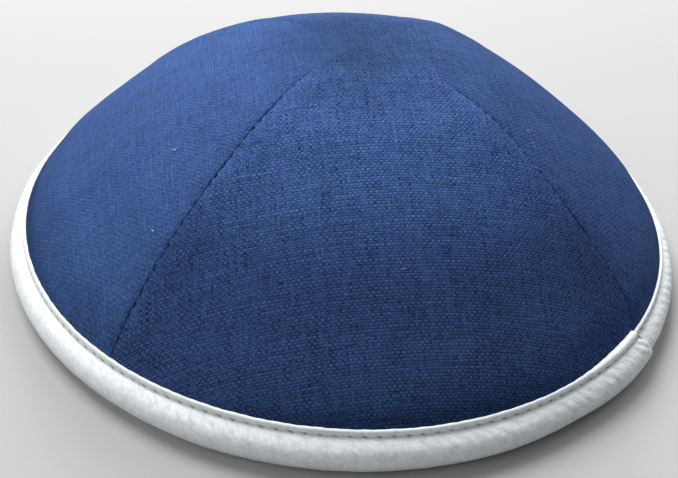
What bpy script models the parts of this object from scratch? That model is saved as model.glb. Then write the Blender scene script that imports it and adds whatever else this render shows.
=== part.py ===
"""Skullcap: four sewn cloth gores, with a satin tape folded over the rim.

Metres, +Z up. The origin lies on the surface that the cap rests on, under the crown.
Angles turn about +Z from the front, -Y, towards the right, +X.
Sections are drawn as (radius, height).
"""
from math import asin, atan2, cos, hypot, pi, radians, sin

import bmesh
import bpy
from mathutils import Matrix, Vector

# Overall size
RIM_WIDTH = 0.1650              # side to side, over the roll of the tape
RIM_DEPTH = 0.1632              # front to back, likewise
CAP_HEIGHT = 0.0500             # top of the crown above the surface

# Crown
GORE_COUNT = 4
FRONT_GORE_ANGLE = radians(10.8)    # where the centre line of the front gore points
CLOTH_WALL = 0.0012             # outer cloth and its facing
VAULT_POWER = 0.41              # 0 makes a round dome, more makes flatter gores with sharper seams
SKIRT_ANGLE = radians(66)       # slope of the hem inside the tape
HEM_HEIGHT = 0.0040             # lower edge of the gores above the surface

# Tape
TAPE_HEIGHT = 0.0102            # upper edge of the tape above the surface
TAPE_WALL = 0.0010              # folded tape along its upper edge
ROLL_REACH = 0.0036             # how far the roll stands out past the upper edge
FOOT_WIDTH = 0.0015             # flat that the tape rests on
TAPE_JOIN_ANGLE = radians(56)   # where the covering end of the tape stops
TAPE_JOIN_LENGTH = 0.0120       # doubled stretch before that end
TAPE_JOIN_RISE = 0.0008         # what the doubled tape adds to the roll
TAPE_END_LENGTH = 0.0006        # stretch over which the covering end drops off

# Fits
CLEARANCE = 0.0003              # between a gore and its neighbours

# Fineness of the mesh
CROWN_STEPS = 16                # rings of faces from the crown to the tape
GORE_STEPS = 18                 # columns of faces across a gore

# Crown from the top to the tape, along the middle of a gore:
# share of the radius, share of the drop
CROWN_ROWS = (
    (0.00, 0.000),
    (0.18, 0.005),
    (0.36, 0.105),
    (0.54, 0.288),
    (0.70, 0.485),
    (0.84, 0.698),
    (0.94, 0.851),
    (1.00, 1.000),
)

# Outer face of the tape from its upper edge to the foot:
# share of the tape's height, share of the roll's reach
TAPE_ROWS = (
    (1.00, 0.00),
    (0.83, 0.26),
    (0.66, 0.68),
    (0.54, 0.90),
    (0.42, 1.00),
    (0.30, 0.86),
    (0.18, 0.52),
    (0.07, 0.20),
    (0.00, 0.00),
)

NAVY_LINEN = (0.052, 0.088, 0.190, 1.0)
WHITE_SATIN = (0.780, 0.820, 0.830, 1.0)

# Places that follow from the sizes
SKIRT_OUT = Vector((sin(SKIRT_ANGLE), cos(SKIRT_ANGLE)))
SKIRT_DOWN = Vector((cos(SKIRT_ANGLE), -sin(SKIRT_ANGLE)))
TAPE_EDGE = Vector((RIM_WIDTH / 2 - ROLL_REACH, TAPE_HEIGHT))
CROWN_EDGE = TAPE_EDGE - SKIRT_OUT * (TAPE_WALL + CLEARANCE)
SKIRT_LENGTH = (CROWN_EDGE.y - HEM_HEIGHT) / sin(SKIRT_ANGLE)
GORE_TURN = 2 * pi / GORE_COUNT
DEPTH_SHARE = RIM_DEPTH / RIM_WIDTH


def clear_scene():
    """Remove every object that the file starts with."""
    for item in list(bpy.data.objects):
        bpy.data.objects.remove(item)


def cloth_material(name, colour, roughness, sheen):
    """Plain cloth finish."""
    material = bpy.data.materials.new(name)
    material.use_nodes = True
    shader = material.node_tree.nodes["Principled BSDF"]
    shader.inputs["Base Color"].default_value = colour
    shader.inputs["Roughness"].default_value = roughness
    shader.inputs["Metallic"].default_value = 0.0
    shader.inputs["Sheen Weight"].default_value = sheen
    material.diffuse_color = colour
    return material


def eased(rows, place):
    """Height of a smooth rising curve through rows of (place, height), level where it starts."""
    slopes = [(b[1] - a[1]) / (b[0] - a[0]) for a, b in zip(rows, rows[1:])]
    tangents = [0.0]
    for before, after in zip(slopes, slopes[1:]):
        tangents.append(2 * before * after / (before + after))
    tangents.append(slopes[-1])
    index = sum(1 for row in rows[1:-1] if place > row[0])
    (x0, y0), (x1, y1) = rows[index], rows[index + 1]
    width = x1 - x0
    t = (place - x0) / width
    return (
        (1 + 2 * t) * (1 - t) ** 2 * y0
        + t * (1 - t) ** 2 * width * tangents[index]
        + t * t * (3 - 2 * t) * y1
        + t * t * (t - 1) * width * tangents[index + 1]
    )


def crown_height(radius, turn):
    """Height of the crown's outer face, at a turn from the middle of a gore."""
    share = min(radius / CROWN_EDGE.x, 1.0)
    vaulted = share * cos(turn) ** (VAULT_POWER * (1 - share ** 2))
    return CAP_HEIGHT - (CAP_HEIGHT - CROWN_EDGE.y) * eased(CROWN_ROWS, vaulted)


def skirt_point(along, out):
    """Point of the hem's section, down from the crown's edge and out from its outer face."""
    return CROWN_EDGE + SKIRT_DOWN * along + SKIRT_OUT * out


def inward(points, distance):
    """The same line of points, moved square to itself towards the hollow."""
    moved = []
    for i, point in enumerate(points):
        tangent = points[min(i + 1, len(points) - 1)] - points[max(i - 1, 0)]
        normal = Vector((-tangent.y, tangent.x)).normalized()
        moved.append(point - normal * distance)
    moved[0].x = points[0].x
    return moved


def gore_section():
    """Closed section of a gore along its middle, from the crown to the hem and back inside."""
    outside = []
    for step in range(CROWN_STEPS + 1):
        radius = CROWN_EDGE.x * sin(pi / 2 * step / CROWN_STEPS)
        outside.append(Vector((radius, crown_height(radius, 0.0))))
    outside.append(skirt_point(SKIRT_LENGTH, 0.0))
    return outside + inward(outside, CLOTH_WALL)[::-1]


def tape_section():
    """Closed section of the tape: outer leaf, foot, inner leaf and the slot that holds the hem."""
    outside = [
        Vector((TAPE_EDGE.x + ROLL_REACH * reach, TAPE_HEIGHT * height)) for height, reach in TAPE_ROWS
    ]
    inner_face = -(CLOTH_WALL + CLEARANCE + TAPE_WALL)
    foot_end = outside[-1] - Vector((FOOT_WIDTH, 0.0))
    inside = [
        foot_end,
        foot_end.lerp(skirt_point(SKIRT_LENGTH, inner_face), 0.35) - Vector((TAPE_WALL / 4, 0.0)),
        skirt_point(SKIRT_LENGTH, inner_face),
        skirt_point(SKIRT_LENGTH / 2, inner_face),
        skirt_point(0.0, inner_face),
    ]
    slot = [
        skirt_point(0.0, inner_face + TAPE_WALL),
        skirt_point(SKIRT_LENGTH + CLEARANCE, inner_face + TAPE_WALL),
        skirt_point(SKIRT_LENGTH + CLEARANCE, CLEARANCE),
        skirt_point(0.0, CLEARANCE),
    ]
    return outside + inside + slot


def section_mesh(points, turn):
    """A bmesh with a section's points, standing upright at a turn from the front."""
    bm = bmesh.new()
    for point in points:
        bm.verts.new((point.x * sin(turn), -point.x * cos(turn), point.y))
    return bm


def turn_of(place):
    """Turn of a place about +Z, from the front towards the right, and none on the axis itself."""
    on_axis = hypot(place.x, place.y) < CLEARANCE / 100
    return 0.0 if on_axis else atan2(place.x, -place.y)


def finish_object(name, bm, material, collection, parent):
    """Put a finished bmesh into the scene as a smooth object of its own."""
    bmesh.ops.remove_doubles(bm, verts=bm.verts, dist=1e-6)
    bmesh.ops.recalc_face_normals(bm, faces=bm.faces)
    bmesh.ops.scale(bm, vec=(1.0, DEPTH_SHARE, 1.0), verts=bm.verts)
    mesh = bpy.data.meshes.new(name)
    bm.to_mesh(mesh)
    bm.free()
    mesh.shade_smooth()
    mesh.set_sharp_from_angle(angle=radians(40))
    mesh.materials.append(material)
    item = bpy.data.objects.new(name, mesh)
    item.parent = parent
    collection.objects.link(item)
    return item


def make_gore(name, centre, material, collection, parent):
    """One gore: its section turned through the gore's angle, then lifted to the vault's form."""
    bm = section_mesh(gore_section(), -GORE_TURN / 2)
    bm.faces.new(bm.verts)
    bmesh.ops.spin(
        bm,
        geom=bm.verts[:] + bm.edges[:] + bm.faces[:],
        cent=(0.0, 0.0, 0.0),
        axis=(0.0, 0.0, 1.0),
        angle=GORE_TURN,
        steps=GORE_STEPS,
        use_merge=False,
    )
    for vert in bm.verts:
        radius = hypot(vert.co.x, vert.co.y)
        vert.co.z += crown_height(radius, turn_of(vert.co)) - crown_height(radius, 0.0)
    # Half the clearance lies on each side of a seam, all the way up to the crown.
    seam_shift = CLEARANCE / 2 / sin(GORE_TURN / 2)
    bmesh.ops.translate(bm, vec=(0.0, -seam_shift, 0.0), verts=bm.verts)
    bmesh.ops.rotate(bm, cent=(0.0, 0.0, 0.0), matrix=Matrix.Rotation(centre, 3, "Z"), verts=bm.verts)
    return finish_object(name, bm, material, collection, parent)


def join_rise(turn):
    """How far the doubled tape stands out at a turn from the front."""
    radius = RIM_WIDTH / 2
    back = (TAPE_JOIN_ANGLE - turn) * radius
    drop_off = back / TAPE_END_LENGTH
    run_in = (2 * TAPE_JOIN_LENGTH - back) / TAPE_JOIN_LENGTH
    return TAPE_JOIN_RISE * max(0.0, min(1.0, drop_off, run_in))


def cut_columns(bm, turns):
    """Cut the ring across at each turn, on the side where the join is."""
    for turn in turns:
        side = Vector((sin(turn), -cos(turn), 0.0))
        near = [face for face in bm.faces if face.calc_center_median().dot(side) > 0.0]
        edges = {edge for face in near for edge in face.edges}
        verts = {vert for face in near for vert in face.verts}
        bmesh.ops.bisect_plane(
            bm,
            geom=near + list(edges) + list(verts),
            dist=1e-6,
            plane_co=(0.0, 0.0, 0.0),
            plane_no=(cos(turn), sin(turn), 0.0),
        )


def make_tape(name, material, collection, parent):
    """The tape round the rim, one strip whose covering end lies over its start."""
    start = FRONT_GORE_ANGLE - GORE_TURN / 2
    bm = section_mesh(tape_section(), start)
    ring = bm.verts[:]
    edges = [bm.edges.new((a, b)) for a, b in zip(ring, ring[1:] + ring[:1])]
    bmesh.ops.spin(
        bm,
        geom=ring + edges,
        cent=(0.0, 0.0, 0.0),
        axis=(0.0, 0.0, 1.0),
        angle=2 * pi,
        steps=GORE_STEPS * GORE_COUNT,
        use_merge=True,
    )
    radius = RIM_WIDTH / 2
    lengths = (0.0, TAPE_END_LENGTH, TAPE_JOIN_LENGTH, 2 * TAPE_JOIN_LENGTH)
    cut_columns(bm, [TAPE_JOIN_ANGLE - asin(length / radius) for length in lengths])
    for vert in bm.verts:
        reach = hypot(vert.co.x, vert.co.y)
        out = (Vector((reach, vert.co.z)) - CROWN_EDGE).dot(SKIRT_OUT)
        if out > 2 * CLEARANCE and vert.co.z > 0.0:
            stretch = 1 + join_rise(turn_of(vert.co)) / reach
            vert.co.x *= stretch
            vert.co.y *= stretch
    return finish_object(name, bm, material, collection, parent)


def build():
    """Make the collection, the origin and the five pieces."""
    clear_scene()
    collection = bpy.data.collections.new("skullcap")
    bpy.context.scene.collection.children.link(collection)
    origin = bpy.data.objects.new("skullcap_origin", None)
    collection.objects.link(origin)
    linen = cloth_material("navy_linen", NAVY_LINEN, 0.85, 0.3)
    satin = cloth_material("white_satin", WHITE_SATIN, 0.40, 0.1)
    for index, side in enumerate(("front", "right", "back", "left")):
        centre = FRONT_GORE_ANGLE + index * GORE_TURN
        make_gore(f"gore_{side}", centre, linen, collection, origin)
    make_tape("binding", satin, collection, origin)


build()
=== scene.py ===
"""Dress of the skullcap: woven gores with sewn seams, satin tape, stitches, stage and camera.

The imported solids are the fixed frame, in metres, +Z up, with the origin on the surface under the
crown. Angles turn about +Z from the front, -Y, towards the right, +X. Sections are (radius, height).
"""
from bisect import bisect_right
from math import atan2, cos, exp, hypot, pi, radians, sin, tau
from random import Random

import bmesh
import bpy
from bpy.props import FloatProperty, FloatVectorProperty, IntProperty, PointerProperty
from mathutils import Matrix, Vector, noise


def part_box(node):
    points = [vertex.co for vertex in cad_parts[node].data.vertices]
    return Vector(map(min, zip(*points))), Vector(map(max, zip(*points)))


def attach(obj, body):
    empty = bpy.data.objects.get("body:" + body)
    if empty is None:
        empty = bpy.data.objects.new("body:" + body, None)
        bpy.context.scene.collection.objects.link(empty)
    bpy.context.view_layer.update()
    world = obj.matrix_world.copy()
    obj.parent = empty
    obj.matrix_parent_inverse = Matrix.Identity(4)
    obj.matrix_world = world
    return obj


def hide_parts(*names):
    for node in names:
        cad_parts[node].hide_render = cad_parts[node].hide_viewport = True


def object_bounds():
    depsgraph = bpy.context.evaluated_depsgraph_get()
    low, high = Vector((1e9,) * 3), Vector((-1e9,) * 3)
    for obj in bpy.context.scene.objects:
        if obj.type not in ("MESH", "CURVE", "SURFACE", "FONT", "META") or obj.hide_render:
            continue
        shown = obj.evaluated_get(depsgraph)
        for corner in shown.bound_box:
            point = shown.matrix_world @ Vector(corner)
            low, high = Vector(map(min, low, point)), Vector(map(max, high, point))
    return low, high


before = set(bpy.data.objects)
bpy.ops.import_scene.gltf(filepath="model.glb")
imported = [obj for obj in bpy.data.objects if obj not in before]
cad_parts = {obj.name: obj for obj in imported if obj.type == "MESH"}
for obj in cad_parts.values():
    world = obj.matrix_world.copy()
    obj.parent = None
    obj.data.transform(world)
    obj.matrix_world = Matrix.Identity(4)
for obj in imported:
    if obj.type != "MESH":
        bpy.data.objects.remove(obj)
CAD_LOW, CAD_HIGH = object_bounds()
TAPE_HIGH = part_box("binding")[1]
HEM_LOW, GORE_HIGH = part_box("gore_front")

bl_info = {
    "name": "Skullcap dress",
    "version": (1, 0, 0),
    "blender": (4, 5, 0),
    "location": "3D View > Sidebar > Skullcap",
    "description": "Cloth, tape, stitches and studio for a four-gore skullcap",
    "category": "Object",
}

# Gores in turn from the front: name, how light the cloth shows in all, at its tip, at its middle,
# below that and above the tape, how strongly its weave shows, and how light its threads to the
# crown and across it show. All but the weave's strength are painted light and shade: threads from
# side to side catch the light, so the gores are painted lighter or darker, and each gore is painted
# lighter or darker down from its tip.
CLOTH_TURNS = {
    "front": (1.06, 0.50, 0.99, 0.55, 0.56, 0.84, 0.5, 1.0),
    "right": (0.82, 0.78, 0.94, 0.84, 0.82, 0.84, 1.0, 0.5),
    "back": (0.88, 0.66, 0.88, 0.74, 0.68, 0.60, 0.5, 1.0),
    "left": (1.20, 0.54, 0.80, 0.70, 0.60, 0.60, 1.0, 0.5),
}

# Frayed ends of the tape's join: radius, turn in degrees, height and number of threads
FRAYS = (
    (0.0789, 57.3, 0.0088, 4),
    (0.0816, 57.8, 0.0062, 3),
    (0.0824, 58.2, 0.0040, 5),
)

# Lint on the cloth: radius, turn in degrees, length, number of fibres and how much they curl
LINT = (
    (0.0468, -51.4, 0.0007, 4, 25.0),
    (0.0602, -39.1, 0.0006, 3, 25.0),
    (0.0427, 67.1, 0.0046, 1, 6.0),
    (0.0393, 60.1, 0.0016, 1, 10.0),
    (0.0483, 56.4, 0.0022, 1, 8.0),
    (0.0560, 12.0, 0.0012, 1, 12.0),
)

# Soft lamps: turn and elevation in degrees, watts
LAMPS = {
    "window": (180, 30, 10.2),
    "ceiling": (225, 60, 11.4),
    "right_window": (135, 35, 3.5),
    "left_wall": (270, 35, 1.7),
    "front_wall": (315, 45, 2.6),
}

# Seams in turn from the front left: how deep each is drawn in at the crown
SEAM_DRAWS = (1.15, 0.75, 0.30, 0.30)

# The least that a seam is drawn in towards the tape
LOW_SEAM_DRAW = 0.85

# Seams in the same turn: how far each strays half way up, in degrees
SEAM_DRIFTS = (0.0, 2.6, 0.0, 0.0)

# Crown from the top to the tape, along the middle of a gore:
# share of the radius, share of the drop
CROWN_ROWS = (
    (0.00, 0.000),
    (0.18, 0.005),
    (0.36, 0.105),
    (0.54, 0.288),
    (0.70, 0.485),
    (0.84, 0.694),
    (0.94, 0.859),
    (1.00, 1.000),
)

# Outer face of the tape from where its folded edge meets the cloth to the foot:
# share of the tape's height, share of the roll's reach past the tape's edge
TAPE_ROWS = (
    (0.956, -0.240),
    (1.000, -0.175),
    (1.004, -0.105),
    (0.982, -0.045),
    (0.940, 0.000),
    (0.890, 0.035),
    (0.845, 0.065),
    (0.815, 0.190),
    (0.770, 0.400),
    (0.700, 0.650),
    (0.600, 0.860),
    (0.500, 0.970),
    (0.412, 1.000),
    (0.304, 0.944),
    (0.186, 0.750),
    (0.083, 0.472),
    (0.025, 0.222),
    (0.000, 0.000),
)

# The row above that the top stitches lie in
GROOVE_ROW = 6

# How far down a gore its painted light and shade change, in metres from its tip
GORE_SHADES = {
    "tip": (0.004, 0.032),
    "middle": (0.036, 0.068),
    "hem": (0.075, 0.083),
    "edge": (0.085, 0.090),
}

# How strongly the parts of the weave show in the cloth's tone, the least tone, and the tone that
# a gore's contrast turns about. The tops are painted light on the thread tops and painted shade
# between them; yarn, clouds, tufts and fuzz are the threads' own uneven tone.
WEAVE_TONES = {
    "tops": 0.66,
    "yarn": 1.00,
    "clouds": 0.30,
    "tufts": 0.90,
    "fuzz": 0.60,
    "least": 0.11,
    "middle": 0.42,
}

# How far the threads stray, in spacings
THREAD_SWAY = 1.9

# How far from a seam its painted shade fades, in metres, and how raggedly
SEAM_SHADE = (0.00040, 0.00090)
SEAM_RAGGED = 0.0008

# Threads: colour and roughness
THREADS = {
    "white_thread": ((0.70, 0.73, 0.74), 0.55),
    "frayed_thread": ((0.75, 0.78, 0.79), 0.6),
    "lint": ((0.42, 0.50, 0.62), 0.8),
}

# Where the tape's painted shade and painted light change, in metres below its stitched groove
TAPE_SHADES = {
    "crease": (0.00012, 0.00045),
    "band top": (-0.00150, -0.00100),
    "band foot": (-0.00010, 0.00060),
    "pucker top": (0.0004, 0.0010),
    "pucker foot": (0.0016, 0.0034),
    "under roll": (0.0013, 0.0042),
    "foot": (0.0045, 0.0085),
}

# Sine of the 45 degrees that the tape is cut at
HALF_RIGHT = 0.7071

# Width in pixels of the picture that the focal length is given for
PICTURE_WIDTH = 678

# Vertices nearer than this, in metres, are merged
NEAR = 1e-7


def length(name, default, description):
    """A length in metres that a user may change."""
    return FloatProperty(name=name, description=description, default=default, unit="LENGTH", precision=5)


def angle(name, default, description):
    """An angle, given in degrees and kept in radians."""
    return FloatProperty(name=name, description=description, default=radians(default), subtype="ANGLE")


def share(name, default, description):
    """A plain number without a unit."""
    return FloatProperty(name=name, description=description, default=default, precision=4)


def colour(name, default, description):
    """A colour in linear light."""
    return FloatVectorProperty(name=name, description=description, default=default, subtype="COLOR")


class CapSizes(bpy.types.PropertyGroup):
    """Form of the cap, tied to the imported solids."""

    rim_width: length("Rim width", CAD_HIGH.x - CAD_LOW.x, "Side to side, over the roll of the tape")
    rim_depth: length("Rim depth", CAD_HIGH.y - CAD_LOW.y, "Front to back, over the roll of the tape")
    cap_height: length("Cap height", GORE_HIGH.z, "Top of the crown above the surface")
    vault: share("Vault", 0.41, "Sharpness of the corner along each seam")
    front_turn: angle("Front gore", 10.8, "Where the middle of the front gore points")
    hem_height: length("Hem height", HEM_LOW.z, "Lower edge of the cloth inside the tape")
    skirt_slope: angle("Skirt slope", 66, "Slope of the hem inside the tape")
    edge_inset: length("Edge inset", 0.0008, "From the cloth out to the tape's edge")


class ClothLook(bpy.types.PropertyGroup):
    """Cloth of the gores."""

    thickness: length("Cloth", 0.0005, "Thickness of the cloth")
    allowance: length("Seam allowance", 0.0060, "Cloth turned in along each seam")
    seam_depth: length("Seam depth", 0.00034, "How far the cloth dips into a seam")
    seam_width: length("Seam width", 0.00055, "Half width of that dip")
    seam_rise: length("Seam rise", 0.00018, "How far the turned-in cloth lifts the outside")
    seam_pitch: length("Seam stitch", 0.0025, "Pitch of the seam's stitches")
    warp_pitch: length("Warp pitch", 0.00053, "Spacing of the threads that run towards the crown")
    weft_pitch: length("Weft pitch", 0.00062, "Spacing of the threads that run across")
    # The weave runs from the dark colour to the light one: partly the threads' own uneven tone, partly
    # painted shade deep between the threads and painted light on their tops.
    dark: colour("Between threads", (0.011, 0.020, 0.060), "Cloth deep in the weave")
    light: colour("Thread tops", (0.090, 0.188, 0.500), "Cloth on top of the threads")
    # Painted shade on the cloth just above the tape
    painted_edge_shade: share("Painted edge shade", 0.58, "How light the cloth is beside the tape")
    columns: IntProperty(name="Columns", description="Faces across a gore", default=172, min=24)
    rows: IntProperty(name="Rows", description="Faces from the crown to the hem", default=132, min=24)


class TapeLook(bpy.types.PropertyGroup):
    """Satin tape round the rim."""

    reach: length("Roll reach", 0.0036, "How far the roll stands out past the tape's edge")
    foot: length("Foot", 0.0015, "Flat that the tape rests on")
    thickness: length("Tape", 0.00050, "Thickness of the folded tape")
    join_turn: angle("Join", 56, "Where the covering end stops")
    overlap: length("Overlap", 0.0090, "How far the ends lie over each other")
    join_rise: length("Join rise", 0.00060, "How far the covering end stands out")
    stitch_pitch: length("Top stitch", 0.0029, "Pitch of the top stitching")
    ripple: length("Ripple", 0.00012, "Depth of the puckers below the stitching")
    satin: colour("Satin", (0.84, 0.89, 0.90), "Colour of the tape")
    groove: colour("Shaded satin", (0.30, 0.28, 0.31), "Colour of the tape in its creases")
    steps: IntProperty(name="Steps", description="Steps round the rim", default=1160, min=90)


class StudioLook(bpy.types.PropertyGroup):
    """Floor, lamps and camera."""

    floor: colour("Floor", (0.42, 0.42, 0.42), "Colour of the floor")
    focal: share("Focal length", 850.0, "Focal length in pixels of a picture 678 wide")
    distance: length("Distance", 0.224, "Camera from the middle of the cap's base")
    elevation: angle("Elevation", 36.9, "Camera above the floor")
    pan: angle("Pan", -0.305, "Turn of the camera to the right")
    tilt: angle("Tilt", 1.25, "Turn of the camera below the middle of the base")
    roll: angle("Roll", 4.12, "Lean of the camera")


def eased(rows, place):
    """Height of a smooth rising curve through rows of (place, height), level where it starts."""
    slopes = [(b[1] - a[1]) / (b[0] - a[0]) for a, b in zip(rows, rows[1:])]
    tangents = [0.0]
    for before, after in zip(slopes, slopes[1:]):
        tangents.append(2 * before * after / (before + after))
    tangents.append(slopes[-1])
    index = sum(1 for row in rows[1:-1] if place > row[0])
    (x0, y0), (x1, y1) = rows[index], rows[index + 1]
    width = x1 - x0
    t = (place - x0) / width
    return (
        (1 + 2 * t) * (1 - t) ** 2 * y0
        + t * (1 - t) ** 2 * width * tangents[index]
        + t * t * (3 - 2 * t) * y1
        + t * t * (t - 1) * width * tangents[index + 1]
    )


def smooth(low, high, value):
    """0 below low, 1 above high, and an even S between."""
    t = max(0.0, min(1.0, (value - low) / (high - low)))
    return t * t * (3 - 2 * t)


def band(starts, ends, value):
    """1 between two smooth changes from 0 and back to 0."""
    return smooth(*starts, value) * (1 - smooth(*ends, value))


def distances(points):
    """How far along a line each of its points is."""
    travel = [0.0]
    for a, b in zip(points, points[1:]):
        travel.append(travel[-1] + (b - a).length)
    return travel


def rounded_line(points, count, steps=16):
    """Evenly spaced points on a smooth curve through a few points, worked out in steps between them."""
    dense = []
    ends = [points[0] * 2 - points[1]] + list(points) + [points[-1] * 2 - points[-2]]
    for a, b, c, d in zip(ends, ends[1:], ends[2:], ends[3:]):
        square = 2 * a - 5 * b + 4 * c - d
        cube = 3 * b - a - 3 * c + d
        for step in range(steps):
            t = step / steps
            dense.append(0.5 * (2 * b + (c - a) * t + square * t * t + cube * t ** 3))
    dense.append(points[-1].copy())
    travel = distances(dense)
    line = []
    for index in range(count):
        wanted = travel[-1] * index / (count - 1)
        at = min(bisect_right(travel, wanted) - 1, len(dense) - 2)
        line.append(dense[at].lerp(dense[at + 1], (wanted - travel[at]) / (travel[at + 1] - travel[at])))
    return line


def line_normals(line):
    """Unit normals of a line in the section's plane, on the left of its run."""
    normals = []
    for index in range(len(line)):
        run = line[min(index + 1, len(line) - 1)] - line[max(index - 1, 0)]
        normals.append(Vector((-run.y, run.x)).normalized())
    return normals


class CapForm:
    """Where the cloth lies, worked out once from the sizes.

    Lengths are in metres. Starts, ends and deepens are ranges of travel down the cloth, and waves
    are (depth, bumps per metre).
    """

    steps = 800
    seam_starts = (0.008, 0.034)
    seam_deepens = (0.045, 0.065)
    rise_starts = (0.008, 0.030)
    relief_starts = (0.0, 0.006)
    relief_ends = (-0.0030, -0.0004)
    faint_aside = 0.0007
    dip_share = 0.30
    dip_width = 0.0016
    pucker_depth = 0.00015
    pucker_width = 0.0040
    pull_depth = 0.00030
    pull_width = 0.0011
    waves = ((0.00022, 34), (0.00008, 95))

    def __init__(self, scene):
        sizes, cloth, tape = scene.cap_sizes, scene.cap_cloth, scene.cap_tape
        self.height = sizes.cap_height
        self.vault = sizes.vault
        self.depth_share = sizes.rim_depth / sizes.rim_width
        self.gore_turn = tau / len(CLOTH_TURNS)
        self.skirt_out = Vector((sin(sizes.skirt_slope), cos(sizes.skirt_slope)))
        self.skirt_down = Vector((cos(sizes.skirt_slope), -sin(sizes.skirt_slope)))
        self.tape_edge = Vector((sizes.rim_width / 2 - tape.reach, TAPE_HIGH.z))
        self.edge = self.tape_edge - self.skirt_out * sizes.edge_inset
        self.skirt_length = (self.edge.y - sizes.hem_height) / sin(sizes.skirt_slope)
        self.first_seam = sizes.front_turn - self.gore_turn / 2
        self.cloth = cloth
        self.measure()

    def measure(self):
        """Travel down the middle of a gore, from the crown's top to its edge."""
        count = self.steps
        self.drops = [eased(CROWN_ROWS, index / count) for index in range(count + 1)]
        self.radii = [self.edge.x * index / count for index in range(count + 1)]
        self.travel = [0.0]
        for index in range(count):
            drop = (self.drops[index + 1] - self.drops[index]) * (self.height - self.edge.y)
            self.travel.append(self.travel[-1] + hypot(self.radii[1], drop))

    def crown(self, radius, turn):
        """Height of the crown's outer face, at a turn from the middle of a gore."""
        part = min(radius / self.edge.x, 1.0)
        vaulted = part * cos(turn) ** (self.vault * (1 - part ** 2)) * (len(self.drops) - 1)
        at = min(int(vaulted), len(self.drops) - 2)
        drop = self.drops[at] + (self.drops[at + 1] - self.drops[at]) * (vaulted - at)
        return self.height - (self.height - self.edge.y) * drop

    def section_point(self, travel, turn):
        """Point of the cloth's outer face as (radius, height), at a travel from the top."""
        if travel > self.travel[-1]:
            return self.edge + self.skirt_down * (travel - self.travel[-1])
        at = min(bisect_right(self.travel, travel) - 1, len(self.travel) - 2)
        part = (travel - self.travel[at]) / (self.travel[at + 1] - self.travel[at])
        radius = self.radii[at] + (self.radii[at + 1] - self.radii[at]) * part
        return Vector((radius, self.crown(radius, turn)))

    def in_space(self, radius, turn, height):
        """A point of the frame, from its radius, turn and height."""
        return Vector((radius * sin(turn), -radius * cos(turn) * self.depth_share, height))

    def seam_at(self, travel, turn, centre):
        """Nearest seam's number, the distance to it and how deep it is drawn in there."""
        radius = self.section_point(travel, 0.0).x
        seam = round((centre + turn - self.first_seam) / self.gore_turn) % len(SEAM_DRAWS)
        aside = radius * (self.gore_turn / 2 - abs(turn))
        draw = SEAM_DRAWS[seam]
        draw += max(0.0, LOW_SEAM_DRAW - draw) * smooth(*self.seam_deepens, travel)
        return seam, aside, draw * smooth(*self.seam_starts, travel)

    def seam_place(self, travel, turn, centre):
        """Place beside the seam for its shading: counted further away where the seam is drawn in less."""
        seam, aside, draw = self.seam_at(travel, turn, centre)
        return Vector((aside + self.faint_aside * max(0.0, 1 - draw), travel + seam))

    def relief(self, travel, turn, centre, point):
        """How far seams, puckers and waves move the outer face along its normal."""
        cloth = self.cloth
        seam, aside, draw = self.seam_at(travel, turn, centre)
        open_cloth = 1 - smooth(*self.relief_ends, travel - self.travel[-1])
        stitch = 0.85 + 0.15 * cos(tau * travel / cloth.seam_pitch + seam)
        stitch += 0.3 * noise.noise(Vector((travel * 150, seam * 5.1, 3.0)))
        valley = -(cloth.seam_depth * draw * stitch) * exp(-aside / cloth.seam_width)
        valley -= self.dip_share * cloth.seam_depth * draw * exp(-((aside / self.dip_width) ** 2))
        rise = cloth.seam_rise * (1 - smooth(0.8 * cloth.allowance, 1.25 * cloth.allowance, aside))
        rise *= smooth(*self.rise_starts, travel)
        along = Vector((travel * 170, seam * 7.3, aside * 60 + turn * 3))
        pucker = self.pucker_depth * draw * noise.noise(along) * exp(-aside / self.pucker_width)
        strays = 2 * noise.noise(along * 0.4)
        pull = max(0.0, cos(tau * (travel - 1.1 * aside) / cloth.seam_pitch + strays))
        pucker -= self.pull_depth * draw * pull ** 3 * exp(-aside / self.pull_width)
        wave = sum(depth * noise.noise(point * scale) for depth, scale in self.waves)
        moved = (valley + rise + pucker) * (0.25 + 0.75 * open_cloth) + wave * open_cloth
        return moved * smooth(*self.relief_starts, travel)


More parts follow.
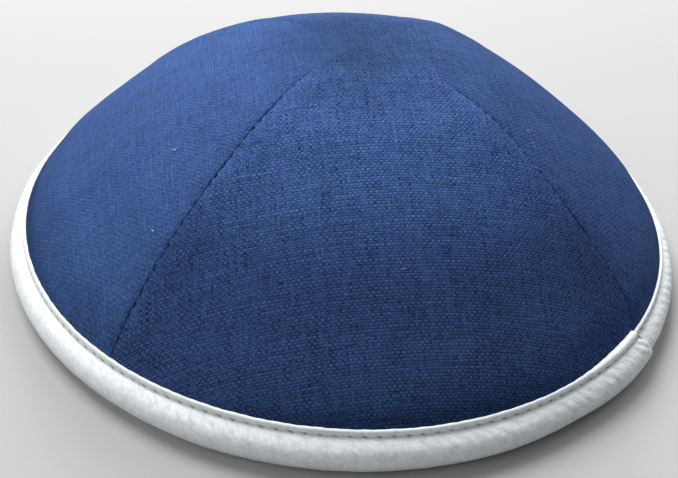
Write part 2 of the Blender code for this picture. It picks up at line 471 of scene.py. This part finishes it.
class TapeForm:
    """Where the tape lies, worked out once from the sizes.

    Lengths are in metres. Edge, shoulder and roll are ranges of travel below the stitched groove.
    """

    stations = 60
    leaf_in = -0.0025
    lip = 0.0009
    groove_depth = 0.00030
    groove_width = 0.00040
    shoulder = ((0.0002, 0.0012), (0.0030, 0.0060))
    patch_depth = 0.00016
    edge_ends = (-0.0021, -0.0010)
    edge_waves = 0.00012
    scallops = 0.00006
    roll = ((0.0010, 0.0040), (0.0090, 0.0105))
    roll_waves = 0.00022
    roll_creases = 0.00006
    cover_tail = 0.020
    end_fold = 0.0006
    slant_turn = radians(2.3)
    slant_middle = 0.0035
    slant_reach = 0.0070
    slant_fades = (0.0, 0.010)

    def __init__(self, scene):
        self.form = CapForm(scene)
        self.tape = scene.cap_tape
        self.rim = scene.cap_sizes.rim_width / 2
        self.start = self.tape.join_turn - self.tape.overlap / self.rim
        self.turn = tau + self.tape.overlap / self.rim
        outside = [Vector(self.outer(*row)) for row in TAPE_ROWS]
        self.line = rounded_line(outside + self.inside(outside[-1]), self.stations)
        self.normals = line_normals(self.line)
        self.travel = distances(self.line)
        groove = Vector(self.outer(*TAPE_ROWS[GROOVE_ROW]))
        nearest = min(range(len(self.line)), key=lambda index: (self.line[index] - groove).length)
        self.groove = self.travel[nearest]

    def outer(self, height, reach):
        """Radius and height of a row of the tape's outer face."""
        return self.form.tape_edge.x + self.tape.reach * reach, self.form.tape_edge.y * height

    def inside(self, foot):
        """Points from the foot's inner side up the leaf inside the cloth."""
        form = self.form
        foot_end = foot - Vector((self.tape.foot, 0.0))
        low = form.edge + form.skirt_down * form.skirt_length + form.skirt_out * self.leaf_in
        high = form.edge + form.skirt_out * self.leaf_in
        return [
            foot_end + Vector((-0.0004, 0.0003)),
            foot_end.lerp(low, 0.45) - Vector((0.0004, 0.0)),
            low,
            low.lerp(high, 0.5),
            high,
            form.edge + form.skirt_out * (self.leaf_in + self.lip) + Vector((0.0, 0.0004)),
        ]

    def relief(self, gone, below):
        """How far stitches, puckers and waves move the outer face along its normal."""
        slanted = (gone - 0.9 * below) / self.tape.stitch_pitch
        stitch = 0.5 - 0.5 * cos(tau * slanted)
        moved = -self.groove_depth * exp(-((below / self.groove_width) ** 2)) * (0.35 + 0.65 * stitch)
        shoulder = band(*self.shoulder, below)
        uneven = noise.noise(Vector((gone * 130, 3.1, 0.0)))
        ripple = (0.45 + 0.9 * uneven) * cos(tau * slanted + 2.2 * uneven)
        moved += self.tape.ripple * shoulder * ripple
        patch = noise.noise(Vector((gone * 520 - below * 380, below * 300, 8.0)))
        moved += self.patch_depth * shoulder * patch
        edge = 1 - smooth(*self.edge_ends, below)
        wavy = noise.noise(Vector((gone * 260, 0.0, 17.0)))
        moved += edge * (self.edge_waves * wavy - self.scallops * stitch)
        roll = band(*self.roll, below)
        moved += self.roll_waves * roll * noise.noise(Vector((gone * 45, below * 40, 31.0)))
        creases = noise.noise(Vector((gone * 260 - below * 200, below * 150, 51.0)))
        return moved + self.roll_creases * roll * creases

    def place(self, index, inner, around):
        """Point of the tape for a station on its line, a side and a turn from its start."""
        tape = self.tape
        left = (self.turn - around) * self.rim
        below = self.travel[index] - self.groove
        cover = 1 - smooth(tape.overlap * 0.8, tape.overlap + self.cover_tail, left)
        end = smooth(0.0, self.end_fold, left)
        raised = tape.join_rise * cover * (0.45 + 0.55 * end)
        if inner:
            moved = raised - tape.thickness * (0.35 + 0.65 * end)
        else:
            moved = self.relief(around * self.rim, below) + raised
        point = self.line[index] + self.normals[index] * moved
        slant = max(-1.2, min(1.0, (below - self.slant_middle) / self.slant_reach))
        turn = self.start + around + self.slant_turn * slant * (1 - smooth(*self.slant_fades, left))
        return self.form.in_space(point.x, turn, max(point.y, 0.0))


def strip_grid(across, along):
    """A grid of faces. Gives the bmesh and each vertex's column and row in it."""
    bm = bmesh.new()
    bmesh.ops.create_grid(bm, x_segments=across, y_segments=along, size=0.5)
    places = []
    for vert in bm.verts:
        column = round((vert.co.x + 0.5) * across)
        row = round((vert.co.y + 0.5) * along)
        places.append((vert, column, row))
    return bm, places


def lay_uv(bm, name, place_of):
    """A UV map in metres, from each vertex's place."""
    layer = bm.loops.layers.uv.new(name)
    for face in bm.faces:
        for corner in face.loops:
            corner[layer].uv = place_of[corner.vert]


def close_tube(bm, near=NEAR):
    """Join the long edges of a rolled-up grid, close its ends and turn its faces outwards."""
    bmesh.ops.remove_doubles(bm, verts=bm.verts, dist=near)
    bmesh.ops.holes_fill(bm, edges=[edge for edge in bm.edges if edge.is_boundary], sides=0)
    bmesh.ops.recalc_face_normals(bm, faces=bm.faces)


def mesh_of(name, bm):
    """The mesh of a bmesh that is done with."""
    mesh = bpy.data.meshes.new(name)
    bm.to_mesh(mesh)
    bm.free()
    return mesh


def new_object(name, data):
    """A new object in the scene."""
    item = bpy.data.objects.new(name, data)
    bpy.context.scene.collection.objects.link(item)
    return item


def new_piece(name, bm, material, replaced=()):
    """Make a finished bmesh a smooth piece that rides on the body."""
    mesh = mesh_of(name, bm)
    mesh.shade_smooth()
    mesh.materials.append(material)
    piece = new_object(name, mesh)
    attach(piece, "root")
    if replaced:
        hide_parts(*replaced)
    return piece


class Value:
    """An output socket that can be used in sums."""

    def __init__(self, tree, socket):
        self.tree = tree
        self.socket = socket

    def math(self, operation, *values):
        """A Math node on this value and others."""
        node = self.tree.nodes.new("ShaderNodeMath")
        node.operation = operation
        for place, value in zip(node.inputs, (self,) + values):
            if isinstance(value, Value):
                self.tree.links.new(value.socket, place)
            else:
                place.default_value = value
        return Value(self.tree, node.outputs[0])

    def flipped(self, operation, value):
        """The same with the plain number first."""
        result = self.math(operation, value)
        node = result.socket.node
        self.tree.links.remove(node.inputs[0].links[0])
        self.tree.links.new(self.socket, node.inputs[1])
        node.inputs[0].default_value = value
        return result

    def __add__(self, other):
        return self.math("ADD", other)

    __radd__ = __add__

    def __sub__(self, other):
        return self.math("SUBTRACT", other)

    def __rsub__(self, other):
        return self.flipped("SUBTRACT", other)

    def __mul__(self, other):
        return self.math("MULTIPLY", other)

    __rmul__ = __mul__

    def __truediv__(self, other):
        return self.math("DIVIDE", other)

    def __pow__(self, other):
        return self.math("POWER", other)

    def __gt__(self, other):
        return self.math("GREATER_THAN", other)


class Recipe:
    """A material with a Principled shader, and one way to add other nodes."""

    def __init__(self, name):
        self.material = bpy.data.materials.new(name)
        self.material.use_nodes = True
        self.tree = self.material.node_tree
        self.shader = self.tree.nodes["Principled BSDF"]

    def add(self, kind, settings, inputs, *outputs):
        """A node of a kind: its settings are set first, then its sockets. Gives the named outputs."""
        node = self.tree.nodes.new(kind)
        for key, value in settings.items():
            setattr(node, key, value)
        for key, value in inputs.items():
            self.feed(node.inputs[key], value)
        values = [Value(self.tree, node.outputs[key]) for key in outputs]
        return values[0] if len(values) == 1 else values

    def feed(self, place, value):
        """Link a value to a socket, or set the socket."""
        if isinstance(value, Value):
            self.tree.links.new(value.socket, place)
        else:
            place.default_value = value

    def surface(self, **inputs):
        """Feed the shader's sockets, named with _ for a space."""
        for key, value in inputs.items():
            self.feed(self.shader.inputs[key.replace("_", " ")], value)
        return self.material

    def noise(self, vector, scale, detail):
        """Noise from 0 to 1 on a vector."""
        return self.add("ShaderNodeTexNoise", {}, {"Vector": vector, "Scale": scale, "Detail": detail}, 0)

    def streaks(self, x, y, seed, detail):
        """Noise from 0 to 1 on two scaled numbers. The seed picks another part of it."""
        return self.noise(self.joined(x, y, seed), 1.0, detail)

    def uv(self, name):
        """The two numbers of a UV map, in metres."""
        place = self.add("ShaderNodeUVMap", {"uv_map": name}, {}, "UV")
        return self.add("ShaderNodeSeparateXYZ", {}, {"Vector": place}, "X", "Y")

    def joined(self, x, y, z=0.0):
        """A vector from three numbers."""
        return self.add("ShaderNodeCombineXYZ", {}, {"X": x, "Y": y, "Z": z}, "Vector")

    def blend(self, factor, low, high):
        """Between two colours."""
        return self.add("ShaderNodeMix", {"data_type": "RGBA"}, {0: factor, 6: low, 7: high}, 2)

    def ramp(self, value, start, end, low, high):
        """A smooth change from one number to another as a value grows."""
        inputs = {"Value": value, "From Min": start, "From Max": end, "To Min": low, "To Max": high}
        return self.add("ShaderNodeMapRange", {"interpolation_type": "SMOOTHSTEP"}, inputs, "Result")

    def bump(self, height, distance, strength):
        """A bumped normal."""
        inputs = {"Height": height, "Distance": distance, "Strength": strength}
        return self.add("ShaderNodeBump", {}, inputs, "Normal")


def solid_colour(rgb, gain):
    """A colour socket's four numbers."""
    return (rgb[0] * gain, rgb[1] * gain, rgb[2] * gain, 1.0)


def linen(name, cloth, gain, tip, middle, low, hem, contrast, warp_light, weft_light):
    """Plain weave with uneven threads, laid on the cloth's own grain."""
    recipe = Recipe(name)
    across_m, along_m = recipe.uv("grain")
    grain = recipe.joined(across_m, along_m)
    lean = recipe.streaks(across_m * 260.0, along_m * 60.0, seed=0.3, detail=3.0) - 0.5
    sway = recipe.streaks(across_m * 60.0, along_m * 260.0, seed=7.3, detail=3.0) - 0.5
    across = across_m / cloth.warp_pitch + lean * THREAD_SWAY
    along = along_m / cloth.weft_pitch + sway * THREAD_SWAY
    warp_sine = (across * pi).math("SINE")
    weft_sine = (along * pi).math("SINE")
    over = warp_sine.math("SIGN") * weft_sine.math("SIGN")
    warp_top = (over * weft_sine.math("ABSOLUTE") * 0.5 + 0.5) * warp_sine.math("ABSOLUTE") ** 0.6
    weft_top = (0.54 - over * warp_sine.math("ABSOLUTE") * 0.46) * weft_sine.math("ABSOLUTE") ** 0.6
    height = warp_top.math("MAXIMUM", weft_top)
    on_warp = warp_top > weft_top
    # Painted sheen: the threads that run from side to side are painted lighter, as they catch the light
    float_light = weft_light + (warp_light - weft_light) * on_warp
    cell = recipe.joined(across.math("FLOOR"), along.math("FLOOR"))
    crossing = recipe.add("ShaderNodeTexWhiteNoise", {}, {"Vector": cell}, "Value")
    warp_yarn = recipe.streaks(across.math("FLOOR") * 0.77, along_m * 160.0, seed=1.7, detail=2.0)
    weft_yarn = recipe.streaks(across_m * 130.0, along.math("FLOOR") * 0.77, seed=5.1, detail=2.0)
    yarn = weft_yarn + (warp_yarn - weft_yarn) * on_warp
    cloudy = recipe.noise(grain, scale=45.0, detail=3.0) - 0.5
    fuzz = recipe.noise(grain, scale=2600.0, detail=2.0) - 0.5
    # Painted light on the thread tops and painted shade deep between the threads
    top_light = height * float_light * (0.74 + 0.52 * crossing)
    tufts = recipe.streaks(across_m * 1300.0, along_m * 1700.0, seed=4.0, detail=2.0) - 0.5
    tones = WEAVE_TONES
    tone = top_light * tones["tops"] + (yarn - 0.5) * tones["yarn"] + cloudy * tones["clouds"]
    tone = tone + tufts * tones["tufts"] + fuzz * tones["fuzz"] + tones["least"]
    tone = (tone - tones["middle"]) * contrast + tones["middle"]
    # Painted light and shade down the gore: at its tip, its middle, towards the hem and beside the tape
    from_top = recipe.add("ShaderNodeVectorMath", {"operation": "LENGTH"}, {0: grain}, "Value")
    painted_shade = recipe.ramp(from_top, *GORE_SHADES["middle"], middle, low)
    painted_shade = painted_shade * recipe.ramp(from_top, *GORE_SHADES["tip"], tip / middle, 1.0)
    painted_shade = painted_shade * recipe.ramp(from_top, *GORE_SHADES["hem"], 1.0, hem / low)
    painted_shade = painted_shade * recipe.ramp(from_top, *GORE_SHADES["edge"], 1.0, cloth.painted_edge_shade)
    # Painted shade along each seam, darker at its stitches
    beside, travel = recipe.uv("seam")
    stitch = (travel * (tau / cloth.seam_pitch)).math("COSINE") * 0.5 + 0.5
    ragged = recipe.streaks(beside * 500.0, travel * 700.0, seed=0.0, detail=3.0)
    shade = recipe.ramp(beside + ragged * SEAM_RAGGED, *SEAM_SHADE, 1.0, 0.0)
    painted_shade = painted_shade * (1.0 - shade * (stitch * 0.26 + ragged * 0.50))
    # gain paints the whole gore lighter or darker, for how its threads catch the light
    weave = recipe.blend(tone, solid_colour(cloth.dark, gain), solid_colour(cloth.light, gain))
    base = recipe.add("ShaderNodeVectorMath", {"operation": "SCALE"}, {0: weave, "Scale": painted_shade}, "Vector")
    relief = height * 0.85 + yarn * 0.35 + fuzz * 0.15
    return recipe.surface(
        Base_Color=base,
        Roughness=0.9,
        Specular_IOR_Level=0.03,
        Normal=recipe.bump(relief, distance=0.00016, strength=0.6),
    )


def satin(name, tape, groove):
    """White satin cut on the bias, with faint slanting floats, creased along its stitched groove."""
    recipe = Recipe(name)
    round_m, down_m = recipe.uv("strip")
    strip = recipe.joined(round_m, down_m)
    bias = (round_m - down_m) * HALF_RIGHT
    cross = (round_m + down_m) * HALF_RIGHT
    floats = recipe.streaks(bias * 4600.0, cross * 1500.0, seed=0.0, detail=2.0)
    streaks = recipe.streaks(bias * 1500.0, cross * 560.0, seed=2.0, detail=4.0)
    cloudy = recipe.noise(strip, scale=420.0, detail=3.0)
    below = down_m - groove
    slanted = (round_m - below * 0.9) / tape.stitch_pitch
    # Painted shade: dark dashes at the stitch holes and shade in the crease along the groove (near), a
    # darker band above the groove with its folded top edge left lighter (flat), and a greyer lower roll
    # (low)
    dash = ((slanted * tau).math("COSINE") * -0.5 + 0.5) ** 3.5
    near = recipe.ramp(below.math("ABSOLUTE"), *TAPE_SHADES["crease"], 1.0, 0.0)
    flat = recipe.ramp(below, *TAPE_SHADES["band top"], 0.0, 1.0)
    flat = flat * recipe.ramp(below, *TAPE_SHADES["band foot"], 1.0, 0.0)
    low = recipe.ramp(below, *TAPE_SHADES["under roll"], 0.0, 0.26)
    low = low + recipe.ramp(below, *TAPE_SHADES["foot"], 0.0, 0.20)
    patchy = recipe.streaks(round_m * 90.0, 0.0, seed=9.0, detail=2.0)
    # Painted light and shade on the puckers below the stitches: the streaks are painted stronger there
    puckered = recipe.ramp(below, *TAPE_SHADES["pucker top"], 0.0, 1.0)
    puckered = puckered * recipe.ramp(below, *TAPE_SHADES["pucker foot"], 1.0, 0.0)
    tone = 0.98 + (floats - 0.5) * 0.34 + (streaks - 0.5) * (puckered * 0.7 + 0.5) + (cloudy - 0.5) * 0.34
    tone = tone - near * (dash * (patchy * 0.90 + 0.16) + 0.16) - flat * 0.22 - low
    base = recipe.blend(tone, solid_colour(tape.groove, 1.0), solid_colour(tape.satin, 1.06))
    relief = floats * 0.4 + streaks + cloudy * 0.8
    return recipe.surface(
        Base_Color=base,
        Roughness=0.42,
        Specular_IOR_Level=0.5,
        Sheen_Weight=0.10,
        Normal=recipe.bump(relief, distance=0.00020, strength=0.8),
    )


def thread(name):
    """Thread or fibre with a twist."""
    rgb, roughness = THREADS[name]
    recipe = Recipe(name)
    place = recipe.add("ShaderNodeTexCoord", {}, {}, "Object")
    twist = recipe.noise(place, scale=3000.0, detail=2.0)
    base = recipe.blend(twist, solid_colour(rgb, 0.75), solid_colour(rgb, 1.1))
    normal = recipe.bump(twist, distance=0.00005, strength=0.5)
    return recipe.surface(Base_Color=base, Roughness=roughness, Normal=normal)


def pale_floor(name, rgb):
    """Matt pale floor."""
    recipe = Recipe(name)
    place = recipe.add("ShaderNodeTexCoord", {}, {}, "Object")
    grain = recipe.noise(place, scale=900.0, detail=2.0)
    base = recipe.blend(grain, solid_colour(rgb, 0.98), solid_colour(rgb, 1.02))
    return recipe.surface(Base_Color=base, Roughness=0.9, Specular_IOR_Level=0.2)


class CAP_OT_gores(bpy.types.Operator):
    """Sew the four woven gores, each one sheet with its seam allowances turned in"""

    bl_idname = "cap.gores"
    bl_label = "Woven gores"

    flaps = 12
    even = 0.30
    crowded = 0.70
    flap_start = 0.012
    flap_full = 0.028
    fold_width = 0.0008
    fold_depth = 2.3
    drift_middle = 0.032
    drift_reach = 0.015
    cut_share = 0.66

    def execute(self, context):
        form = CapForm(context.scene)
        seams = SEAM_DRIFTS + SEAM_DRIFTS[:1]
        for index, side in enumerate(CLOTH_TURNS):
            drifts = {-1: radians(seams[index]), 1: radians(seams[index + 1])}
            self.make(form, side, context.scene.cap_sizes.front_turn + index * form.gore_turn, drifts)
        return {"FINISHED"}

    def columns(self, form):
        """For each column: its side, its share of half the gore and its share of the allowance.

        The columns stand closer together towards the seams.
        """
        count = form.cloth.columns
        found = []
        for index in range(count + 1):
            part = 2 * (index - self.flaps) / (count - 2 * self.flaps) - 1
            side = -1 if part < 0 else 1
            main = min(abs(part), 1.0)
            flap = max(self.flaps - index, index - count + self.flaps, 0) / self.flaps
            packed = main * (self.even + self.crowded * (1.5 - 0.5 * main * main))
            found.append((side, packed, flap))
        return found

    def bare_grid(self, form, travels, columns, drifts):
        """Turn, cloth past the seam, point and grain for each row and column, towards the front."""
        grid = []
        half = form.gore_turn / 2
        for travel in travels:
            radius = form.section_point(travel, 0.0).x
            room = form.cloth.allowance * (0.45 + 0.55 * smooth(self.flap_start, self.flap_full, radius))
            drift = exp(-(((travel - self.drift_middle) / self.drift_reach) ** 2))
            row = []
            for side, packed, flap in columns:
                past = flap * room
                turn = side * (packed * half - past / max(radius, self.flap_start))
                flat = form.section_point(travel, turn)
                shown = turn + drifts[side] * drift * packed ** 3
                point = Vector((flat.x * sin(shown), -flat.x * cos(shown), flat.y))
                grain = Vector((radius * sin(turn), travel * cos(turn)))
                if past > 0:
                    grain = Vector((side * radius * sin(half), travel * cos(half)))
                    grain += Vector((side * cos(half), -sin(half))) * past
                row.append((turn, past, point, grain))
            grid.append(row)
        return grid

    def normal_at(self, grid, row, column):
        """Outward normal of the bare face."""
        turn = grid[row][column][0]
        above = grid[max(row - 1, 0)][column][2]
        below = grid[min(row + 1, len(grid) - 1)][column][2]
        level = Vector((cos(turn), sin(turn), 0.0))
        normal = level.cross(above - below)
        return normal.normalized() if normal.length > 0 else Vector((0.0, 0.0, 1.0))

    def make(self, form, side, centre, drifts):
        """Lay one gore."""
        cloth = form.cloth
        total = form.travel[-1] + form.skirt_length
        travels = [total * row / cloth.rows for row in range(cloth.rows + 1)]
        grid = self.bare_grid(form, travels, self.columns(form), drifts)
        bm, places = strip_grid(cloth.columns, cloth.rows)
        turned = Matrix.Rotation(centre, 3, "Z")
        deep = Matrix.Diagonal((1.0, form.depth_share, 1.0))
        grain_of, seam_of, column_of, unused = {}, {}, {}, []
        for vert, column, row in places:
            turn, past, point, grain_of[vert] = grid[row][column]
            moved = form.relief(travels[row], turn, centre, turned @ point)
            moved -= cloth.thickness * self.fold_depth * smooth(0.0, self.fold_width, past)
            vert.co = deep @ (turned @ (point + self.normal_at(grid, row, column) * moved))
            column_of[vert] = column
            seam_of[vert] = form.seam_place(travels[row], turn, centre)
            if past > 0 and travels[row] < self.flap_start:
                unused.append(vert)
        for edge in bm.edges:
            ends = {column_of[vert] for vert in edge.verts}
            edge.smooth = ends not in ({self.flaps}, {cloth.columns - self.flaps})
        lay_uv(bm, "grain", grain_of)
        lay_uv(bm, "seam", seam_of)
        bmesh.ops.delete(bm, geom=unused, context="VERTS")
        bmesh.ops.remove_doubles(bm, verts=bm.verts, dist=NEAR)
        bmesh.ops.recalc_face_normals(bm, faces=bm.faces)
        top = max(bm.faces, key=lambda face: face.calc_center_median().z)
        if top.normal.z < 0:
            bmesh.ops.reverse_faces(bm, faces=bm.faces)
        material = linen(f"linen_{side}", cloth, *CLOTH_TURNS[side])
        piece = new_piece(f"cloth_{side}", bm, material, (f"gore_{side}",))
        wall = piece.modifiers.new("cloth thickness", "SOLIDIFY")
        wall.thickness = cloth.thickness
        wall.offset = -1.0


class CAP_OT_tape(bpy.types.Operator):
    """Fold the satin tape over the rim, with its covering end over its start"""

    bl_idname = "cap.tape"
    bl_label = "Satin tape"

    hidden_step = 5

    def execute(self, context):
        form = TapeForm(context.scene)
        steps = form.tape.steps
        hidden = [*range(len(form.line) - 1, 0, -self.hidden_step), 0]
        loop = [(index, False) for index in range(len(form.line))]
        loop += [(index, True) for index in hidden] + [(0, False)]
        bm, places = strip_grid(len(loop) - 1, steps)
        strip_of = {}
        for vert, station, step in places:
            index, inner = loop[station]
            around = form.turn * step / steps
            vert.co = form.place(index, inner, around)
            strip_of[vert] = Vector((around * form.rim, form.travel[index]))
        lay_uv(bm, "strip", strip_of)
        close_tube(bm)
        material = satin("white_satin", form.tape, form.groove)
        piece = new_piece("satin_tape", bm, material, ("binding",))
        return {"FINISHED"}


def stitch_mesh():
    """A ball of radius 1 to be drawn out into stitches."""
    bm = bmesh.new()
    bmesh.ops.create_uvsphere(bm, u_segments=8, v_segments=6, radius=1.0)
    return mesh_of("stitch", bm)


class CAP_OT_top_stitches(bpy.types.Operator):
    """Lay the top stitches in the tape's groove"""

    bl_idname = "cap.top_stitches"
    bl_label = "Top stitches"

    half_sizes = (0.00085, 0.00014, 0.00012)
    lean = 0.20
    sunk = 0.00010
    upward = 0.45

    def execute(self, context):
        tape_form = TapeForm(context.scene)
        form = tape_form.form
        pitch = tape_form.tape.stitch_pitch
        radius, level = tape_form.outer(*TAPE_ROWS[GROOVE_ROW])
        size = Matrix.Diagonal((*self.half_sizes, 1.0))
        bm = bmesh.new()
        one = stitch_mesh()
        for index in range(int(tau * tape_form.rim / pitch)):
            turn = tape_form.start + (index * pitch) / tape_form.rim
            middle = form.in_space(radius, turn, level)
            ahead = (form.in_space(radius, turn + 0.01, level) - middle).normalized()
            out = Vector((sin(turn), -cos(turn), self.upward)).normalized()
            side = out.cross(ahead).normalized()
            ahead = (ahead - side * self.lean).normalized()
            side = out.cross(ahead).normalized()
            basis = Matrix((ahead, side, out)).transposed().to_4x4()
            place = Matrix.Translation(middle - out * self.sunk) @ basis @ size
            one.transform(place)
            bm.from_mesh(one)
            one.transform(place.inverted())
        bpy.data.meshes.remove(one)
        new_piece("top_stitches", bm, thread("white_thread"))
        return {"FINISHED"}


def fibre_mesh(path, radius, sides=5, tip_share=0.4):
    """A thin round fibre along a path, thinner at both tips."""
    bm, places = strip_grid(sides, len(path) - 1)
    for vert, around, step in places:
        run = (path[min(step + 1, len(path) - 1)] - path[max(step - 1, 0)]).normalized()
        side = run.orthogonal().normalized()
        width = radius * (tip_share if step in (0, len(path) - 1) else 1.0)
        turn = tau * around / sides
        vert.co = path[step] + (side * cos(turn) + run.cross(side) * sin(turn)) * width
    close_tube(bm, NEAR / 10)
    return mesh_of("fibre", bm)


def curled_path(start, way, size, curl, chance, steps=9):
    """Points of a loose fibre that starts one way and bends."""
    path = [start]
    bend = Vector((chance.uniform(-1, 1), chance.uniform(-1, 1), chance.uniform(-1, 1))) * curl
    for _ in range(steps):
        way = (way + bend * 0.1).normalized()
        path.append(path[-1] + way * size / steps)
    return path


class CAP_OT_fibres(bpy.types.Operator):
    """Fray the covering end of the tape and drop a little lint on the cloth"""

    bl_idname = "cap.fibres"
    bl_label = "Loose fibres"

    seed = 11
    fray_radius = 0.00005
    fray_sizes = (0.0010, 0.0026)
    fray_curl = 5.0
    lint_radius = 0.00007
    hair_radius = 0.00004
    above_floor = 0.0002
    above_cloth = 0.0003

    def execute(self, context):
        form = CapForm(context.scene)
        chance = Random(self.seed)
        bm = bmesh.new()
        for radius, turn, height, count in FRAYS:
            ahead = Vector((cos(radians(turn)), sin(radians(turn)), 0.0))
            out = Vector((sin(radians(turn)), -cos(radians(turn)), 0.0))
            for _ in range(count):
                start = form.in_space(radius, radians(turn + chance.uniform(-0.5, 0.3)), height)
                start.z += chance.uniform(-0.0007, 0.0007)
                way = ahead + out * chance.uniform(0.0, 0.9) + Vector((0, 0, chance.uniform(-0.5, 0.5)))
                size = chance.uniform(*self.fray_sizes)
                path = curled_path(start, way.normalized(), size, self.fray_curl, chance)
                for point in path:
                    point.z = max(point.z, self.above_floor)
                self.add(bm, path, self.fray_radius)
        new_piece("frayed_threads", bm, thread("frayed_thread"))
        bm = bmesh.new()
        for radius, turn, size, count, curl in LINT:
            for _ in range(count):
                start = self.on_cloth(form, radius, radians(turn))
                level = Vector((chance.uniform(-1, 1), chance.uniform(-1, 1), 0.0)).normalized()
                flat = curled_path(start, level, size, curl, chance)
                path = [self.on_cloth(form, *self.polar(form, point)) for point in flat]
                self.add(bm, path, self.hair_radius if count == 1 else self.lint_radius)
        new_piece("lint", bm, thread("lint"))
        return {"FINISHED"}

    def add(self, bm, path, radius):
        """Add one fibre to the others."""
        mesh = fibre_mesh(path, radius)
        bm.from_mesh(mesh)
        bpy.data.meshes.remove(mesh)

    def polar(self, form, point):
        """Radius and turn of a point."""
        level = point.y / form.depth_share
        return hypot(point.x, level), atan2(point.x, -level)

    def on_cloth(self, form, radius, turn):
        """A point just above the cloth."""
        nearest = round((turn - form.first_seam) / form.gore_turn - 0.5)
        centre = form.first_seam + (nearest + 0.5) * form.gore_turn
        return form.in_space(radius, turn, form.crown(radius, turn - centre) + self.above_cloth)


class CAP_OT_studio(bpy.types.Operator):
    """Set the floor, the soft lamps and the camera"""

    bl_idname = "cap.studio"
    bl_label = "Studio"

    floor_half = 3.0
    lamp_side = 0.6
    lamp_distance = 1.05
    air_tint = (0.92, 0.96, 1.0)
    air_strength = 0.12

    def execute(self, context):
        look = context.scene.cap_studio
        bm = bmesh.new()
        bmesh.ops.create_grid(bm, x_segments=2, y_segments=2, size=self.floor_half)
        mesh = mesh_of("floor", bm)
        mesh.materials.append(pale_floor("pale_floor", look.floor))
        new_object("floor", mesh)
        for name, (turn, elevation, power) in LAMPS.items():
            self.lamp(name, radians(turn), radians(elevation), power)
        self.air(context.scene)
        self.camera(context.scene, look)
        context.scene.view_settings.view_transform = "Standard"
        return {"FINISHED"}

    def lamp(self, name, turn, elevation, power):
        """A square soft lamp that points at the cap."""
        light = bpy.data.lights.new(name, "AREA")
        light.size = self.lamp_side
        light.energy = power
        lamp = new_object(name, light)
        way = Vector((cos(elevation) * sin(turn), -cos(elevation) * cos(turn), sin(elevation)))
        lamp.location = way * self.lamp_distance
        lamp.rotation_euler = (-way).to_track_quat("-Z", "Y").to_euler()

    def air(self, scene):
        """Even light from all round."""
        world = bpy.data.worlds.new("air")
        world.use_nodes = True
        background = world.node_tree.nodes["Background"]
        background.inputs["Color"].default_value = (*self.air_tint, 1.0)
        background.inputs["Strength"].default_value = self.air_strength
        scene.world = world

    def camera(self, scene, look):
        """The photograph's view of the cap."""
        data = bpy.data.cameras.new("camera")
        data.sensor_width = 36.0
        data.lens = look.focal * data.sensor_width / PICTURE_WIDTH
        data.clip_start = 0.01
        data.clip_end = 20.0
        place = Vector((0.0, -cos(look.elevation), sin(look.elevation))) * look.distance
        dip = look.elevation + look.tilt
        ahead = Vector((sin(look.pan) * cos(dip), cos(look.pan) * cos(dip), -sin(dip)))
        right = ahead.cross(Vector((0, 0, 1))).normalized()
        up = right.cross(ahead)
        leaned_right = right * cos(look.roll) + up * sin(look.roll)
        leaned_up = up * cos(look.roll) - right * sin(look.roll)
        basis = Matrix((leaned_right, leaned_up, -ahead)).transposed()
        camera = new_object("camera", data)
        camera.matrix_world = Matrix.Translation(place) @ basis.to_4x4()
        scene.camera = camera


OPERATORS = (CAP_OT_gores, CAP_OT_tape, CAP_OT_top_stitches, CAP_OT_fibres, CAP_OT_studio)
GROUPS = {"cap_sizes": CapSizes, "cap_cloth": ClothLook, "cap_tape": TapeLook, "cap_studio": StudioLook}


class CAP_PT_panel(bpy.types.Panel):
    """Sizes, looks and operators of the cap"""

    bl_label = "Skullcap"
    bl_idname = "CAP_PT_panel"
    bl_space_type = "VIEW_3D"
    bl_region_type = "UI"
    bl_category = "Skullcap"

    def draw(self, context):
        for name, group in GROUPS.items():
            box = self.layout.box()
            for key in group.__annotations__:
                box.prop(getattr(context.scene, name), key)
        for operator in OPERATORS:
            self.layout.operator(operator.bl_idname)


def register():
    """Register the groups, the operators and the panel."""
    for name, group in GROUPS.items():
        bpy.utils.register_class(group)
        setattr(bpy.types.Scene, name, PointerProperty(type=group))
    for item in (*OPERATORS, CAP_PT_panel):
        bpy.utils.register_class(item)


def unregister():
    """Take them all out again."""
    for item in (CAP_PT_panel, *reversed(OPERATORS)):
        bpy.utils.unregister_class(item)
    for name, group in GROUPS.items():
        delattr(bpy.types.Scene, name)
        bpy.utils.unregister_class(group)


def main():
    """Build the whole scene."""
    register()
    bpy.ops.cap.gores()
    bpy.ops.cap.tape()
    bpy.ops.cap.top_stitches()
    bpy.ops.cap.fibres()
    bpy.ops.cap.studio()
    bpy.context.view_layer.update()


if __name__ == "__main__":
    main()
